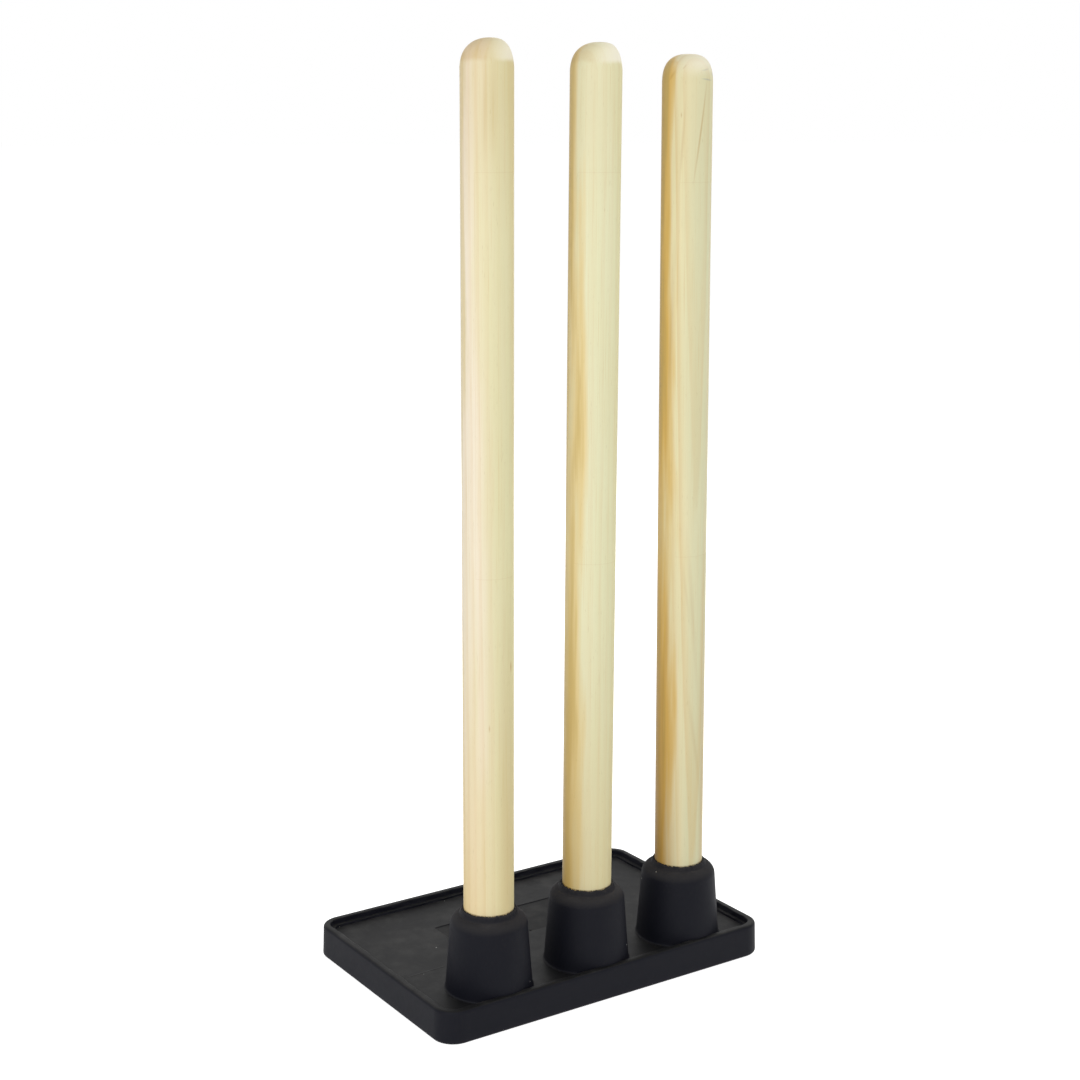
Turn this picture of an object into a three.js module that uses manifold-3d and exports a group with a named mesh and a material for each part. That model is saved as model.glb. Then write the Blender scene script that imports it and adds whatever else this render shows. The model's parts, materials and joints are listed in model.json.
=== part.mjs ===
// A free-standing set of cricket stumps: three turned timber stumps in the cups of one moulded rubber base.
// Millimetres, +Z up. The base rests on z = 0 with its centre at the origin. The cups stand in a row along X,
// close to the front edge at -Y, and the open deck lies behind them.

import * as THREE from "three";
import { mergeVertices } from "three/addons/utils/BufferGeometryUtils.js";
import Module from "manifold-3d";

const wasm = await Module();
wasm.setup();

// Base plate, measured at its foot, where it is widest
const baseLength = 300.8;
const baseWidth = 203.5;
const rimHeight = 26;
const wallDraft = 0.8; // the walls lean in by this much from foot to rim
const cornerRadius = 17.5;
const footEdgeRadius = 2.8;
const rimEdgeRadius = 2.4;

// Inside of the rim: a steep wall, a narrow ledge, and a second small step down to the deck
const rimWidth = 6;
const rimInnerEdgeRadius = 1;
const innerWallDraft = 0.4;
const ledgeDrop = 4;
const ledgeWidth = 2.6;
const deckDrop = 1.6;
const smallestCornerRadius = 3;

// Plain rectangular panel, sunk very little into the deck behind the cups
const panelLength = 143;
const panelWidth = 48.5;
const panelDepth = 0.5;
const panelCornerRadius = 2.5;
const panelSetback = 30.7; // bare deck between the feet of the cups and the panel

// Cups
const cupPitch = 89.6;
const cupRowSetback = 37; // from the front foot edge of the plate to the row's centre line
const cupFootRadius = 32.9;
const cupFootFillet = 1.2;
const cupDraftDegrees = 4.2;
const mouthHeight = 82.6; // top of the lip above the ground
const shoulderRadius = 9;
const lipWidth = 3.6;
const lipHeight = 3.4; // above the top of the shoulder
const lipEdgeRadius = 2.8;
const mouthLeadIn = 0.8;
const socketFloor = 10; // rubber left under each socket

// Stumps
const stumpLength = 700.7;
const stumpFootRadius = 18.9;
const stumpCrownRadius = 18.6;
const crownHeight = 19;
const crownFullness = 2.25; // 2 is a plain ellipse, and more is squarer
const footChamfer = 1.5;
const stumpClearance = 0.3; // round each stump and under its foot

// Each stump leans a little in its cup, and is cut to its own length
const stumps = [
  { name: "left_stump", placeShare: -1, lengthShare: 1.001, leanDegrees: 0.1 },
  { name: "middle_stump", placeShare: 0, lengthShare: 1, leanDegrees: 0.25 },
  { name: "right_stump", placeShare: 1, lengthShare: 0.991, leanDegrees: -0.48 },
];

// How finely curves are divided
const turnSteps = 56;
const cornerSteps = 8;
const edgeSteps = 3;
const shoulderSteps = 5;
const crownSteps = 9;

// Overrun of every cut and of every piece that is sunk into another before they are joined
const overrun = 2;

// Heights and places that follow from the sizes above
const ledgeHeight = rimHeight - ledgeDrop;
const deckHeight = ledgeHeight - deckDrop;
const rowY = -baseWidth / 2 + cupRowSetback;
const socketRadius = stumpFootRadius + stumpClearance;

const rubber = new THREE.MeshStandardMaterial({ color: 0x1b1b1d, roughness: 0.72, metalness: 0 });
const timber = new THREE.MeshStandardMaterial({ color: 0xe6d9b0, roughness: 0.5, metalness: 0 });

// A closed three.js geometry as a solid for cutting and joining
function solidOf(geometry) {
  const bare = geometry.index ? geometry.toNonIndexed() : geometry.clone();
  bare.deleteAttribute("normal");
  bare.deleteAttribute("uv");
  const merged = mergeVertices(bare, 1e-4);
  const vertProperties = new Float32Array(merged.attributes.position.array);
  const triVerts = new Uint32Array(merged.index.array);
  return new wasm.Manifold(new wasm.Mesh({ numProp: 3, vertProperties, triVerts }));
}

function geometryOf(solid) {
  const mesh = solid.getMesh();
  const geometry = new THREE.BufferGeometry();
  geometry.setAttribute("position", new THREE.BufferAttribute(mesh.vertProperties, 3));
  geometry.setIndex(new THREE.BufferAttribute(mesh.triVerts, 1));
  geometry.computeVertexNormals();
  return geometry;
}

// Points of an arc in a section, from one angle to the other, in degrees
function arc(centreX, centreY, radius, fromDegrees, toDegrees, steps) {
  const points = [];
  for (let i = 0; i <= steps; i++) {
    const angle = THREE.MathUtils.degToRad(THREE.MathUtils.lerp(fromDegrees, toDegrees, i / steps));
    points.push(new THREE.Vector2(centreX + radius * Math.cos(angle), centreY + radius * Math.sin(angle)));
  }
  return points;
}

// A section of radius and height, turned about +Z
function turned(section) {
  const geometry = new THREE.LatheGeometry(section, turnSteps);
  return geometry.rotateX(Math.PI / 2);
}

// Outline of a rectangle with round corners, centred on the origin
function roundedRectangle(length, width, radius) {
  const corners = [[1, 1, 0], [-1, 1, 90], [-1, -1, 180], [1, -1, 270]];
  return corners.flatMap(([sideX, sideY, start]) =>
    arc(sideX * (length / 2 - radius), sideY * (width / 2 - radius), radius, start, start + 90, cornerSteps));
}

// The plate: one section of inset and height, carried round the rounded rectangle and closed at both ends
function plate() {
  const draftAt = (height) => wallDraft * height / rimHeight;
  const rimEdge = rimHeight - rimEdgeRadius;
  const outside = [
    ...arc(footEdgeRadius, footEdgeRadius, footEdgeRadius, 270, 180, edgeSteps),
    ...arc(draftAt(rimEdge) + rimEdgeRadius, rimEdge, rimEdgeRadius, 180, 90, edgeSteps),
  ];
  const rimInset = wallDraft + rimWidth;
  const ledgeInset = rimInset + innerWallDraft;
  const inside = [
    ...arc(rimInset - rimInnerEdgeRadius, rimHeight - rimInnerEdgeRadius, rimInnerEdgeRadius, 90, 0, edgeSteps),
    new THREE.Vector2(ledgeInset, ledgeHeight),
    new THREE.Vector2(ledgeInset + ledgeWidth, ledgeHeight),
    new THREE.Vector2(ledgeInset + ledgeWidth + innerWallDraft, deckHeight),
  ];
  const section = [...outside, ...inside];
  const rings = section.map((point) => {
    const radius = Math.max(cornerRadius - point.x, smallestCornerRadius);
    return roundedRectangle(baseLength - 2 * point.x, baseWidth - 2 * point.x, radius);
  });
  return lofted(rings, section.map((point) => point.y));
}

// A closed solid through outlines of equally many points, from the lowest outer one to the last inner one
function lofted(rings, heights) {
  const count = rings[0].length;
  const positions = rings.flatMap((ring, level) => ring.flatMap((point) => [point.x, point.y, heights[level]]));
  const indices = [];
  for (let level = 0; level < rings.length - 1; level++) {
    for (let i = 0; i < count; i++) {
      const low = level * count + i;
      const lowNext = level * count + (i + 1) % count;
      indices.push(low, lowNext, lowNext + count, low, lowNext + count, low + count);
    }
  }
  const last = (rings.length - 1) * count;
  const bottomCentre = positions.length / 3;
  positions.push(0, 0, heights[0], 0, 0, heights[heights.length - 1]);
  for (let i = 0; i < count; i++) {
    const next = (i + 1) % count;
    indices.push(bottomCentre, next, i);
    indices.push(bottomCentre + 1, last + i, last + next);
  }
  const geometry = new THREE.BufferGeometry();
  geometry.setAttribute("position", new THREE.Float32BufferAttribute(positions, 3));
  geometry.setIndex(indices);
  return geometry;
}

// What the panel takes out of the deck
function panelCut() {
  const outline = new THREE.Shape(roundedRectangle(panelLength, panelWidth, panelCornerRadius));
  const geometry = new THREE.ExtrudeGeometry(outline, { depth: panelDepth + overrun, bevelEnabled: false });
  const centreY = rowY + cupFootRadius + panelSetback + panelWidth / 2;
  return geometry.translate(0, centreY, deckHeight - panelDepth);
}

// Outside of one cup, from inside the plate up to the flat top of the lip
function cupBody() {
  const slope = Math.tan(THREE.MathUtils.degToRad(cupDraftDegrees));
  const bottom = deckHeight - overrun;
  const lipRadius = socketRadius + lipWidth;
  const shoulderTop = mouthHeight - lipHeight;
  const centreHeight = shoulderTop - shoulderRadius;
  const centreRadius = cupFootRadius - slope * (centreHeight - deckHeight) - shoulderRadius * Math.hypot(1, slope);
  const lipShare = THREE.MathUtils.clamp((lipRadius - centreRadius) / shoulderRadius, 0, 1);
  const lipAngle = THREE.MathUtils.radToDeg(Math.acos(lipShare));
  const shoulder = arc(centreRadius, centreHeight, shoulderRadius, cupDraftDegrees, lipAngle, shoulderSteps);
  const shoulderEnd = shoulder[shoulder.length - 1];
  const filletRadius = cupFootRadius + cupFootFillet;
  const section = [
    new THREE.Vector2(0, bottom),
    new THREE.Vector2(filletRadius, bottom),
    ...arc(filletRadius, deckHeight + cupFootFillet, cupFootFillet, 270, 180 + cupDraftDegrees, edgeSteps),
    ...shoulder,
    new THREE.Vector2(lipRadius, shoulderEnd.y),
    ...arc(lipRadius - lipEdgeRadius, mouthHeight - lipEdgeRadius, lipEdgeRadius, 0, 90, edgeSteps),
    new THREE.Vector2(0, mouthHeight),
  ];
  return turned(section.filter((point, i) => i === 0 || point.distanceTo(section[i - 1]) > 1e-3));
}

// What a socket takes out of its cup, with the mouth's centre at the origin
function socketCut() {
  const depth = mouthHeight - socketFloor;
  return turned([
    new THREE.Vector2(0, -depth),
    new THREE.Vector2(socketRadius, -depth),
    ...arc(socketRadius + mouthLeadIn, -mouthLeadIn, mouthLeadIn, 180, 90, edgeSteps),
    new THREE.Vector2(socketRadius + mouthLeadIn, overrun),
    new THREE.Vector2(0, overrun),
  ]);
}

// One stump, standing up from the middle of its foot
function stumpBody(length) {
  const crown = [];
  for (let i = 0; i <= crownSteps; i++) {
    const angle = i / crownSteps * Math.PI / 2;
    const across = Math.cos(angle) ** (2 / crownFullness);
    const up = Math.sin(angle) ** (2 / crownFullness);
    const radius = i === crownSteps ? 0 : stumpCrownRadius * across;
    crown.push(new THREE.Vector2(radius, length - crownHeight + crownHeight * up));
  }
  return turned([
    new THREE.Vector2(0, 0),
    new THREE.Vector2(stumpFootRadius - footChamfer, 0),
    new THREE.Vector2(stumpFootRadius, footChamfer),
    ...crown,
  ]);
}

// The middle of each cup's mouth, turned with the stump's lean
function mouthOf(stump) {
  const mouth = new THREE.Group();
  mouth.position.set(stump.placeShare * cupPitch, rowY, mouthHeight);
  mouth.rotation.y = THREE.MathUtils.degToRad(stump.leanDegrees);
  mouth.updateMatrixWorld();
  return mouth;
}

function rubberBase() {
  let base = solidOf(plate()).subtract(solidOf(panelCut()));
  for (const stump of stumps) {
    const cup = cupBody().translate(stump.placeShare * cupPitch, rowY, 0);
    base = base.add(solidOf(cup));
  }
  for (const stump of stumps) {
    base = base.subtract(solidOf(socketCut().applyMatrix4(mouthOf(stump).matrixWorld)));
  }
  const mesh = new THREE.Mesh(geometryOf(base), rubber);
  mesh.name = "rubber_base";
  return mesh;
}

const stumpSet = new THREE.Group();
stumpSet.add(rubberBase());
for (const stump of stumps) {
  const mesh = new THREE.Mesh(stumpBody(stumpLength * stump.lengthShare), timber);
  mesh.name = stump.name;
  mesh.position.z = socketFloor + stumpClearance - mouthHeight;
  const mouth = mouthOf(stump);
  mouth.add(mesh);
  stumpSet.add(mouth);
}

export default stumpSet;
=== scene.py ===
import json
import math

import bmesh
import bpy
import numpy as np
from mathutils import Matrix, Vector, noise


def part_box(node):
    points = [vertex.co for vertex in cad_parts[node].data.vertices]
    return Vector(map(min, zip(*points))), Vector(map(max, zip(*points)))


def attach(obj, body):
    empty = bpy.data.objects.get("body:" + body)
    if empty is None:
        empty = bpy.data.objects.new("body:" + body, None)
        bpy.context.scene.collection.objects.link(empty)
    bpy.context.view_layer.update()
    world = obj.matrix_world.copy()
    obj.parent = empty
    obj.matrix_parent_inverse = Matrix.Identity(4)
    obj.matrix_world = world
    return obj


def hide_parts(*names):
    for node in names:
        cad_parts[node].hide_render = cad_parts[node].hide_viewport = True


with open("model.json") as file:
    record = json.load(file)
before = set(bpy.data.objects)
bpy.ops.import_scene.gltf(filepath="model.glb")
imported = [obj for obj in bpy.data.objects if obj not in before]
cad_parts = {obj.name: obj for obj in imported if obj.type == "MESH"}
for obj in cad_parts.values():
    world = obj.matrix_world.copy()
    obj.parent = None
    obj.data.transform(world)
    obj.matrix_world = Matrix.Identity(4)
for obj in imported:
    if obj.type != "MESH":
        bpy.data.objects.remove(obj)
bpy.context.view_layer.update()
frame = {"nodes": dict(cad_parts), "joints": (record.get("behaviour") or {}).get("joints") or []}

# Cricket stumps standing in a moulded rubber base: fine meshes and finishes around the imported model.
# Lengths in the dictionaries are millimetres unless a name says otherwise, and every mesh is in metres.

mm = 0.001
weld = 0.002 * mm          # corners nearer than this are one
print("frame loaded:", sorted(frame["nodes"]))


# Small helpers

smooth = {"interpolation_type": "SMOOTHSTEP"}
tints = {"data_type": "RGBA"}


def linear(hexColour):
    # sRGB hex to the linear values that shaders take
    channels = [int(hexColour[i:i + 2], 16) / 255 for i in (1, 3, 5)]
    return [c / 12.92 if c <= 0.04045 else ((c + 0.055) / 1.055) ** 2.4 for c in channels] + [1]


def addNode(tree, kind, settings=None, links=None):
    # One node with its settings, or only the name of its operation. An input takes a value, a socket that
    # feeds it, or a node, which feeds it from the first output in use.
    node = tree.nodes.new(kind)
    if isinstance(settings, str):
        settings = {"operation": settings}
    for name, value in (settings or {}).items():
        setattr(node, name, value)
    for name, value in (links or {}).items():
        if isinstance(value, bpy.types.Node):
            value = next(output for output in value.outputs if output.enabled)
        if isinstance(value, bpy.types.NodeSocket):
            tree.links.new(value, node.inputs[name])
        else:
            node.inputs[name].default_value = value
    return node


def newMaterial(name):
    material = bpy.data.materials.new(name)
    material.use_nodes = True
    material.node_tree.nodes.clear()
    return material, material.node_tree


def layered(tree, ground, layers):
    # Tints laid over a ground in turn, each covering it by the product of its shares
    for tint, *shares in layers:
        cover = shares[0]
        for share in shares[1:]:
            cover = addNode(tree, "ShaderNodeMath", "MULTIPLY", {0: cover, 1: share})
        ground = addNode(tree, "ShaderNodeMix", tints, {"Factor": cover, "A": ground, "B": linear(tint)})
    return ground


def finishSurface(tree, colour, roughness, pattern, finish):
    # The shader of a material, with fine relief from one of its patterns
    relief = addNode(tree, "ShaderNodeBump", links={
        "Strength": finish["reliefStrength"], "Distance": finish["reliefDepth"] * mm, "Height": pattern})
    shader = addNode(tree, "ShaderNodeBsdfPrincipled", links={
        "Base Color": colour, "Roughness": roughness, "Specular IOR Level": finish["specularLevel"],
        "Normal": relief})
    addNode(tree, "ShaderNodeOutputMaterial", links={"Surface": shader})


def newObject(name, mesh):
    made = bpy.data.objects.new(name, mesh)
    bpy.context.scene.collection.objects.link(made)
    return made


def meshFrom(name, vertices, faces):
    mesh = bpy.data.meshes.new(name)
    mesh.from_pydata([tuple(v) for v in vertices], [], faces)
    mesh.update()
    return mesh


def bakedMesh(thing, name):
    # The evaluated mesh as a plain one, without its modifiers
    evaluated = thing.evaluated_get(bpy.context.evaluated_depsgraph_get())
    mesh = bpy.data.meshes.new_from_object(evaluated)
    mesh.name = name
    thing.modifiers.clear()
    return mesh


def newTree(name, inputs):
    # A Geometry Nodes tree with its named inputs, and the sockets where they arrive
    tree = bpy.data.node_groups.new(name, "GeometryNodeTree")
    for title, kind in inputs.items():
        tree.interface.new_socket(title, in_out="INPUT", socket_type="NodeSocket" + kind)
    tree.interface.new_socket("Geometry", in_out="OUTPUT", socket_type="NodeSocketGeometry")
    return tree, addNode(tree, "NodeGroupInput").outputs


def runTree(thing, tree, values):
    # Gives an object the plain mesh that a tree makes of it, with inputs set by the sockets' identifiers
    modifier = thing.modifiers.new(tree.name, "NODES")
    modifier.node_group = tree
    for item in tree.interface.items_tree:
        if item.name in values:
            modifier[item.identifier] = values[item.name]
    thing.data = bakedMesh(thing, thing.name)


def arc(centreA, centreB, radius, fromDegrees, toDegrees, steps):
    angles = [math.radians(fromDegrees + (toDegrees - fromDegrees) * i / steps) for i in range(steps + 1)]
    return [(centreA + radius * math.cos(t), centreB + radius * math.sin(t)) for t in angles]


def between(start, end, steps):
    # The points inside a straight stretch
    (startA, startB), (endA, endB) = start, end
    return [(startA + (endA - startA) * k / steps, startB + (endB - startB) * k / steps)
            for k in range(1, steps)]


def wallFaces(rings):
    # Faces from each ring of corners to the next, where a ring may also be one corner repeated
    faces = []
    for low, high in zip(rings, rings[1:]):
        for k in range(len(low)):
            n = (k + 1) % len(low)
            faces.append(tuple(dict.fromkeys((low[k], low[n], high[n], high[k]))))
    return faces


def smoothStep(low, high, value):
    t = np.clip((value - low) / (high - low), 0, 1)
    return t * t * (3 - 2 * t)


# Camera, placed by a pinhole fit to the plate's outline and the stumps' edges in the photo

camera = {
    "place": (-795.6, -1181.8, 652.6),
    "lensMillimetres": 62.99, "sensorMillimetres": 36,
    "yawDegrees": 33.927,     # from +Y towards +X
    "downDegrees": 12.331,
    "rollDegrees": 0.126,
}


def makeCamera():
    yaw, down, roll = (math.radians(camera[k]) for k in ("yawDegrees", "downDegrees", "rollDegrees"))
    right = Vector((math.cos(yaw), -math.sin(yaw), 0))
    ahead = Vector((math.sin(yaw) * math.cos(down), math.cos(yaw) * math.cos(down), -math.sin(down)))
    up = right.cross(ahead)
    rolledRight = right * math.cos(roll) + up * math.sin(roll)
    rolledUp = up * math.cos(roll) - right * math.sin(roll)
    data = bpy.data.cameras.new("camera")
    data.lens = camera["lensMillimetres"]
    data.sensor_width = camera["sensorMillimetres"]
    data.sensor_fit = "HORIZONTAL"
    made = newObject("camera", data)
    turn = Matrix((rolledRight, rolledUp, -ahead)).transposed().to_4x4()
    made.matrix_world = Matrix.Translation(Vector(camera["place"]) * mm) @ turn
    bpy.context.scene.camera = made


makeCamera()
print("camera made")


# Base plate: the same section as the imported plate, with finer rounds and the small unevenness of a moulding

plate = {
    "rimHeight": 26, "wallDraft": 0.8, "cornerRadius": 17.5, "footEdgeRadius": 2.8, "rimEdgeRadius": 2.4,
    "rimWidth": 6, "rimInnerEdgeRadius": 1, "innerWallDraft": 0.4, "innerWallBreak": (0.2, 2.4),
    "ledgeDrop": 4, "ledgeWidth": 2.6, "ledgeEdgeRadius": 0.5, "deckDrop": 1.6, "smallestCornerRadius": 3,
    "floorBelowDeck": 4, "floorInset": 0.5,        # the tray's hidden floor, under the deck slab
    "slabBelowFloor": 1, "deckInset": 8.6,         # the slab's edge is hidden under the ledge
    "sideStep": 2.2, "cornerSteps": 16, "outerEdgeSteps": 7, "innerEdgeSteps": 5, "wallSteps": 5,
    "ledgeFootSteps": 3, "ledgeEdgeSteps": 4, "sharpDegrees": 28,
    "rimWobble": 0.9, "rimWobbleSize": 9, "rimWobbleSpan": (3, 6.5), "rimWobbleSquash": 2,
    "deckWave": 0.05, "deckWaveSize": 30,
    "fractal": (1, 2, 3),          # how fast the noise's octaves fade, their ratio and their number
    "seed": 7.3,
}
panel = {
    "length": 143, "width": 48.5, "centreY": 23.15, "depth": 0.5, "edge": 0.6, "cornerRadius": 2.5,
    "gate": (-8.6, 0.7), "gateRadius": 1.2, "gateDepth": 1,
    "mouldLine": ((-131.6, -19.7), (-101.3, -18.8)), "mouldLineWidth": 0.9, "mouldLineHeight": 0.12,
    "gridStep": 2, "closeLines": (-1.2, -0.8, -0.6, -0.45, -0.3, -0.15, 0, 0.3, 0.8), "clearShare": 0.6,
}
footLow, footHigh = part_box("rubber_base")
plateLength = (footHigh.x - footLow.x) / mm
plateWidth = (footHigh.y - footLow.y) / mm
mouthHeight = footHigh.z / mm
ledgeHeight = plate["rimHeight"] - plate["ledgeDrop"]
deckHeight = ledgeHeight - plate["deckDrop"]


def plateSection():
    # Inset from the foot line and height, from the foot up the outside, over the rim and down inside
    foot, rim, inner, ledge = (plate[k] for k in (
        "footEdgeRadius", "rimEdgeRadius", "rimInnerEdgeRadius", "ledgeEdgeRadius"))
    slope = plate["wallDraft"] / plate["rimHeight"]
    rimEdge = plate["rimHeight"] - rim
    rimInset = plate["wallDraft"] + plate["rimWidth"]
    ledgeInset = rimInset + plate["innerWallDraft"]
    deckInset = ledgeInset + plate["ledgeWidth"]
    breakInset, breakDrop = plate["innerWallBreak"]
    points = arc(foot, foot, foot, 270, 180, plate["outerEdgeSteps"])
    points += between((slope * foot, foot), (slope * rimEdge, rimEdge), plate["wallSteps"])
    points += arc(slope * rimEdge + rim, rimEdge, rim, 180, 90, plate["outerEdgeSteps"])
    points += arc(rimInset - inner, plate["rimHeight"] - inner, inner, 90, 0, plate["innerEdgeSteps"])
    points += [(rimInset + breakInset, plate["rimHeight"] - breakDrop)]
    points += arc(ledgeInset + ledge, ledgeHeight + ledge, ledge, 180, 270, plate["ledgeFootSteps"])
    points += arc(deckInset - ledge, ledgeHeight - ledge, ledge, 90, 0, plate["ledgeEdgeSteps"])
    points += [(deckInset + plate["innerWallDraft"], deckHeight),
               (deckInset + plate["floorInset"], deckHeight - plate["floorBelowDeck"])]
    return points


def plateRing(inset):
    # Points of a rounded rectangle, as many for every inset, with the same share of each side
    radius = max(plate["cornerRadius"] - inset, plate["smallestCornerRadius"])
    centreX = plateLength / 2 - inset - radius
    centreY = plateWidth / 2 - inset - radius
    corners = [arc(x * centreX, y * centreY, radius, start, start + 90, plate["cornerSteps"])
               for x, y, start in ((1, -1, 270), (1, 1, 0), (-1, 1, 90), (-1, -1, 180))]
    ring = []
    for corner, following, side in zip(corners, corners[1:] + corners[:1], (plateWidth, plateLength) * 2):
        ring += corner + between(corner[-1], following[0], round(side / plate["sideStep"]))
    return ring


def makeTray():
    vertices, rings = [], []
    for inset, height in plateSection():
        # The rim's inner edge is the least even line of the moulding
        wobble = plate["rimWobble"] * smoothStep(*plate["rimWobbleSpan"], inset)
        if height <= deckHeight:
            wobble = 0
        ring = plateRing(inset)
        rings.append(range(len(vertices), len(vertices) + len(ring)))
        for x, y in ring:
            spot = Vector((x, y, height * plate["rimWobbleSquash"] + plate["seed"])) / plate["rimWobbleSize"]
            shift = wobble * noise.fractal(spot, *plate["fractal"])
            toCentre = Vector((-x * plateWidth / plateLength, -y, 0)).normalized()
            vertices.append(Vector((x, y, height)) * mm + toCentre * shift * mm)
    faces = wallFaces(rings) + [tuple(reversed(rings[0])), tuple(rings[-1])]
    return newObject("tray", meshFrom("tray", vertices, faces))


def panelDistance(x, y):
    # Distance outside the panel's outline, negative inside
    px = np.abs(x) - panel["length"] / 2 + panel["cornerRadius"]
    py = np.abs(y - panel["centreY"]) - panel["width"] / 2 + panel["cornerRadius"]
    outside = np.hypot(np.maximum(px, 0), np.maximum(py, 0))
    return outside + np.minimum(np.maximum(px, py), 0) - panel["cornerRadius"]


def lineDistance(x, y, start, end):
    ax, ay = start
    bx, by = end
    share = np.clip(((x - ax) * (bx - ax) + (y - ay) * (by - ay)) / ((bx - ax) ** 2 + (by - ay) ** 2), 0, 1)
    return np.hypot(x - ax - share * (bx - ax), y - ay - share * (by - ay))


def deckTop(x, y):
    z = np.full(x.shape, float(deckHeight))
    z -= panel["depth"] * (1 - smoothStep(-panel["edge"], 0, panelDistance(x, y)))
    gateX, gateY = panel["gate"]
    z -= panel["gateDepth"] * (1 - smoothStep(0, panel["gateRadius"], np.hypot(x - gateX, y - gateY)))
    line = lineDistance(x, y, *panel["mouldLine"])
    z += panel["mouldLineHeight"] * (1 - smoothStep(0, panel["mouldLineWidth"], line))
    return z


def gridLines(half, marksAndShade):
    # Even lines, with close ones where the panel's edges and the gate mark need them
    step = panel["gridStep"]
    lines = set(np.round(np.arange(-half, half + step / 2, step), 3))
    for markAndShade in marksAndShade:
        near = np.round(markAndShade + np.array(panel["closeLines"]), 3)
        lines = {v for v in lines if abs(v - markAndShade) > step * panel["clearShare"]} | set(near)
    return np.array(sorted(v for v in lines if -half <= v <= half))


def makeDeck():
    gateX, gateY = panel["gate"]
    sideX, sideY = panel["length"] / 2, panel["width"] / 2
    lineYs = [y for _, y in panel["mouldLine"]]
    xs = gridLines(plateLength / 2 - plate["deckInset"], (-sideX, gateX, sideX))
    ys = gridLines(plateWidth / 2 - plate["deckInset"],
                   (panel["centreY"] - sideY, gateY, panel["centreY"] + sideY, *lineYs))
    gridX, gridY = np.meshgrid(xs, ys)
    vertices = []
    for x, y, z in zip(gridX.ravel(), gridY.ravel(), deckTop(gridX, gridY).ravel()):
        spot = Vector((x, y, plate["seed"])) / plate["deckWaveSize"]
        vertices.append(Vector((x, y, z + plate["deckWave"] * noise.fractal(spot, *plate["fractal"]))) * mm)
    columns, rows = len(xs), len(ys)
    faces = [(a, a + 1, a + columns + 1, a + columns)
             for row in range(rows - 1) for a in range(row * columns, (row + 1) * columns - 1)]
    border = list(range(columns))
    border += [row * columns + columns - 1 for row in range(1, rows)]
    border += [(rows - 1) * columns + i for i in range(columns - 2, -1, -1)]
    border += [row * columns for row in range(rows - 2, 0, -1)]
    underside = range(len(vertices), len(vertices) + len(border))
    slabFoot = (deckHeight - plate["floorBelowDeck"] - plate["slabBelowFloor"]) * mm
    vertices += [Vector((vertices[i].x, vertices[i].y, slabFoot)) for i in border]
    faces += wallFaces([underside, border]) + [tuple(reversed(underside))]
    return newObject("deck", meshFrom("deck", vertices, faces))


# Cups: one turned body, set out in a row by a node tree that also gives the moulding its unevenness

cup = {
    "pitch": 89.6, "rowSetback": 37, "footRadius": 32.9, "footFillet": 1.9, "footFilletDegrees": 242,
    "draftDegrees": 4.2, "shoulderRadius": 9, "shoulderEndDegrees": 71, "lipHeight": 3.4,
    "valley": ((-0.35, 0.02), (-0.75, 0.18), (-1.1, 0.55)),       # on from the end of the shoulder
    "crestRadius": 0.7, "crestCentreRadius": 20.05, "crestDegrees": 35,
    "filletSteps": 5, "wallSteps": 16, "shoulderSteps": 14, "collarSteps": 4, "crestSteps": 4,
    "sunk": 3, "turnSteps": 160, "unevenness": 0.16, "unevennessSize": 22,
    "lipLifts": (0.6, 0, -0.3), "lipNotch": 1, "lipNotchSize": 2.2, "lipFractal": (1, 2, 2),
    "lipReach": (22, 24.5), "lipDepth": (3.2, 0.8),
}
socket = {
    "radius": 19.2, "mouthRadius": 19.02, "mouthDepth": 1.4, "mouthSlope": 1, "floor": 10, "above": 3,
    "turnSteps": 128, "footBand": 0.1,       # corners within the band belong to a stump's foot
}
rowY = -plateWidth / 2 + cup["rowSetback"]
stumpNodes = ["left_stump", "middle_stump", "right_stump"]


def cupSection():
    # Radius and height, from inside the plate up to the crest of the lip
    draft, fillet, bend = cup["draftDegrees"], cup["footFillet"], cup["shoulderRadius"]
    slope = math.tan(math.radians(draft))
    shoulderZ = mouthHeight - cup["lipHeight"] - bend
    shoulderR = cup["footRadius"] - slope * (shoulderZ - deckHeight) - bend * math.hypot(1, slope)
    foot = arc(cup["footRadius"] + fillet, deckHeight + fillet, fillet,
               cup["footFilletDegrees"], 180 + draft, cup["filletSteps"])
    shoulder = arc(shoulderR, shoulderZ, bend, draft, cup["shoulderEndDegrees"], cup["shoulderSteps"])
    lip = arc(cup["crestCentreRadius"], mouthHeight - cup["crestRadius"], cup["crestRadius"],
              cup["crestDegrees"], 90, cup["crestSteps"])
    valley = [(shoulder[-1][0] + inward, shoulder[-1][1] + up) for inward, up in cup["valley"]]
    sunkZ = deckHeight - cup["sunk"]
    return ([(0, sunkZ), (foot[0][0], sunkZ)] + foot + between(foot[-1], shoulder[0], cup["wallSteps"])
            + shoulder + valley + between(valley[-1], lip[0], cup["collarSteps"]) + lip + [(0, mouthHeight)])


def turnedMesh(name, section, steps):
    # A section that starts and ends on the axis, turned about Z
    vertices, rings = [], []
    for radius, height in section:
        corners = arc(0, 0, radius, 0, 360, steps)[:-1] if radius else [(0, 0)]
        rings.append([len(vertices) + k % len(corners) for k in range(steps)])
        vertices += [Vector((x, y, height)) * mm for x, y in corners]
    return meshFrom(name, vertices, wallFaces(rings))


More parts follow.
